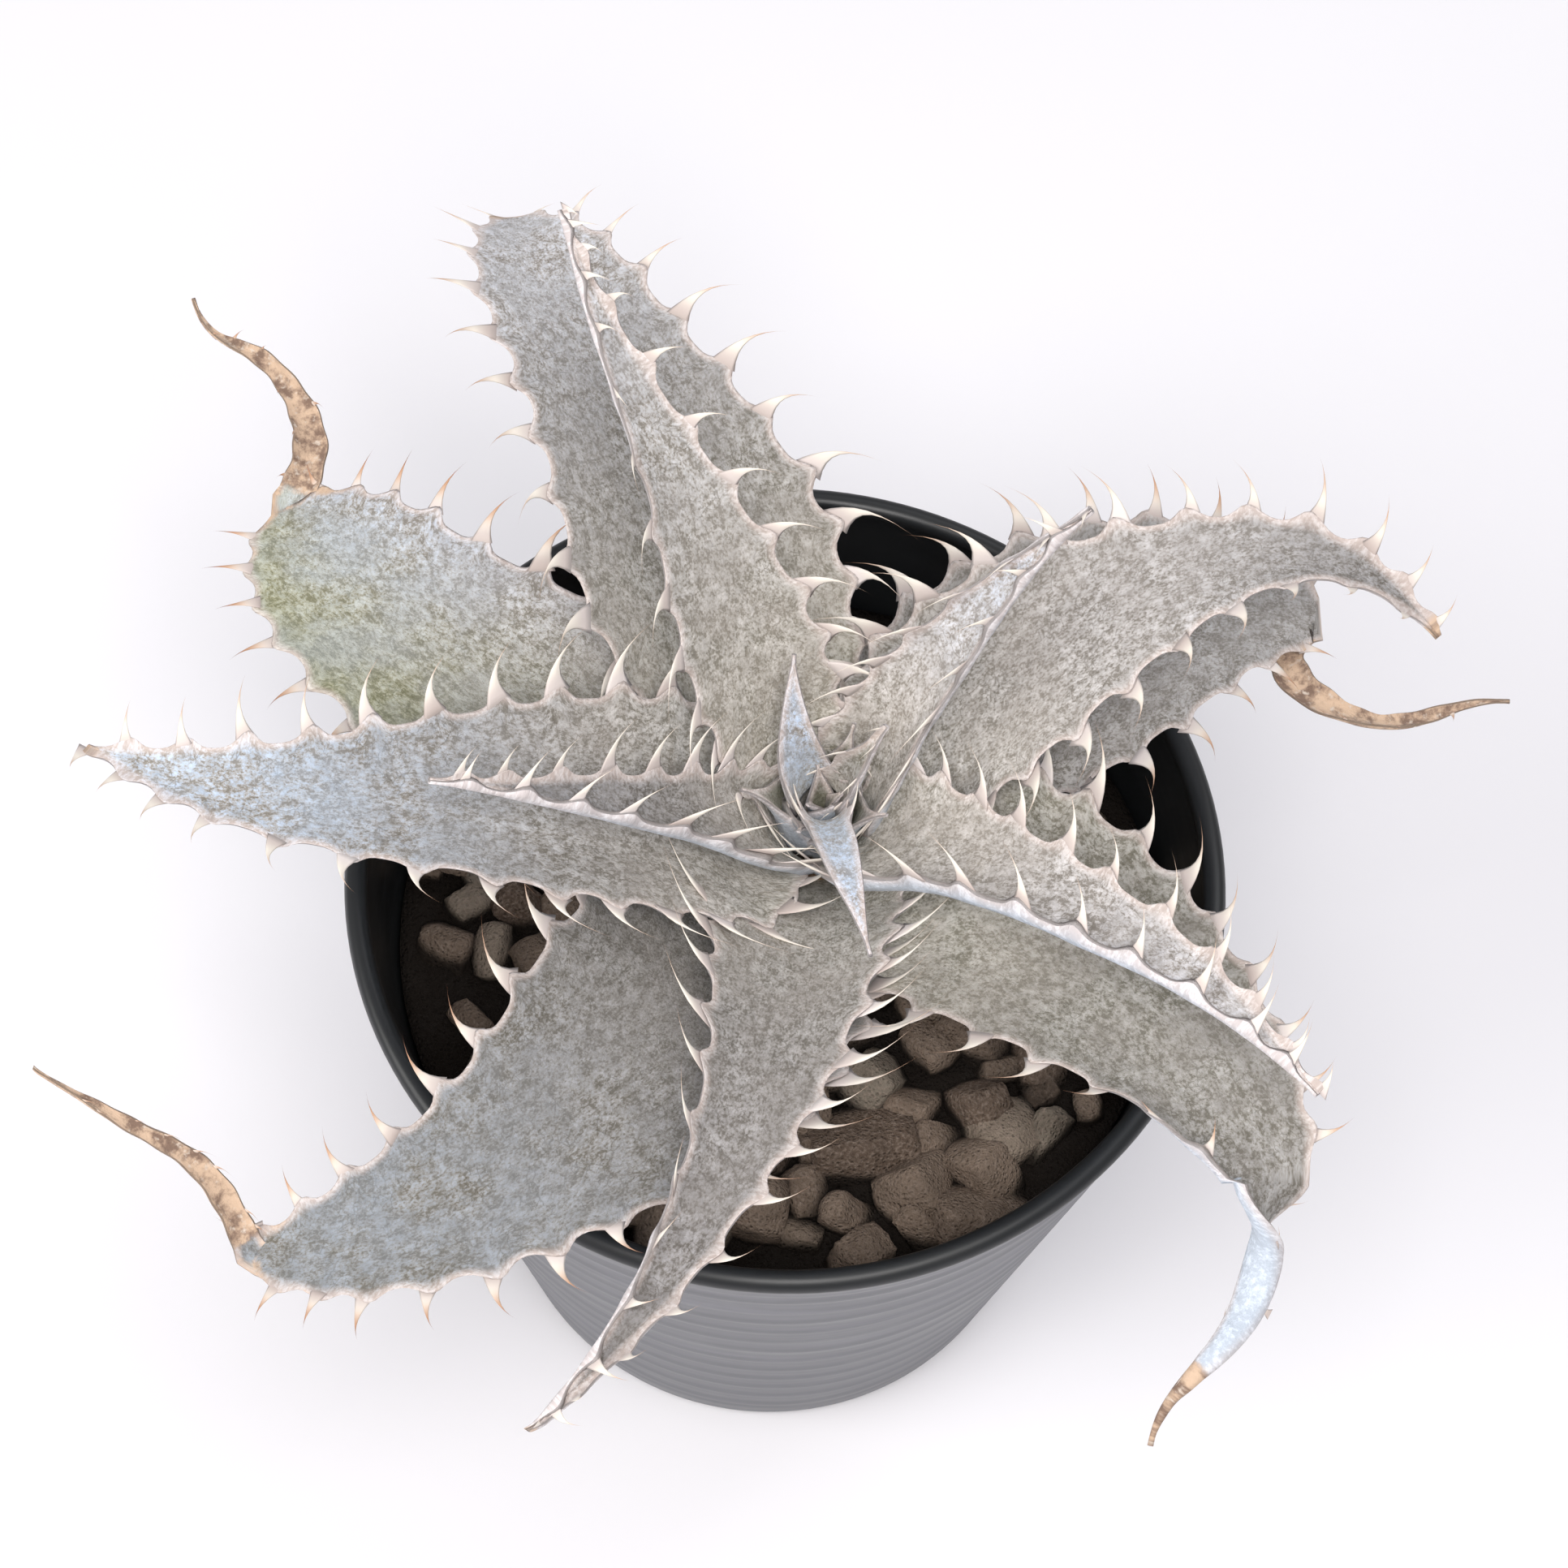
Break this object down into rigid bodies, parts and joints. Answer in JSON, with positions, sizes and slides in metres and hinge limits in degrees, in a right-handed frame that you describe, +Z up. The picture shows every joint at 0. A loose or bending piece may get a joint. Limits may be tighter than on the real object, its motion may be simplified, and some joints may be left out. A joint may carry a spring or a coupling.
{
  "type": "dyckia bromeliad in pot",
  "caption": "Potted dyckia bromeliad: a rosette of stiff, grey-scaled leaves with hooked marginal teeth, on a short stem in a tapered nursery pot filled with pumice gravel.",
  "frame": {"origin": "middle of the pot's underside, on the surface that it stands on", "axes": "+Z up along the pot's axis; the picture looks along +Y and down, with +X to its right"},
  "size_m": [0.1428, 0.1344, 0.1417],
  "materials": {
    "pot_plastic": "satin moulded polypropylene with fine level ribs",
    "pumice_gravel": "porous, damp and dark",
    "stem_bark": "rough, with old leaf scars",
    "leaf_scurf": "stiff leaf under a felt of grey scales, pale margins and teeth"
  },
  "bodies": {
    "root": {"pot": "pot_plastic", "gravel_mix": "pumice_gravel", "stem": "stem_bark", "leaf_north_west_outer": "leaf_scurf", "leaf_north_west_inner": "leaf_scurf", "leaf_west_outer": "leaf_scurf", "leaf_west_middle": "leaf_scurf", "leaf_west_inner": "leaf_scurf", "leaf_south_west_outer": "leaf_scurf", "leaf_south_middle": "leaf_scurf", "leaf_south_east_outer": "leaf_scurf", "leaf_east_inner": "leaf_scurf", "leaf_north_east_middle": "leaf_scurf", "leaf_north_east_outer": "leaf_scurf", "leaf_north_east_inner": "leaf_scurf", "leaf_heart_back": "leaf_scurf", "leaf_heart_front": "leaf_scurf", "leaf_heart_side": "leaf_scurf"}
  },
  "joints": []
}
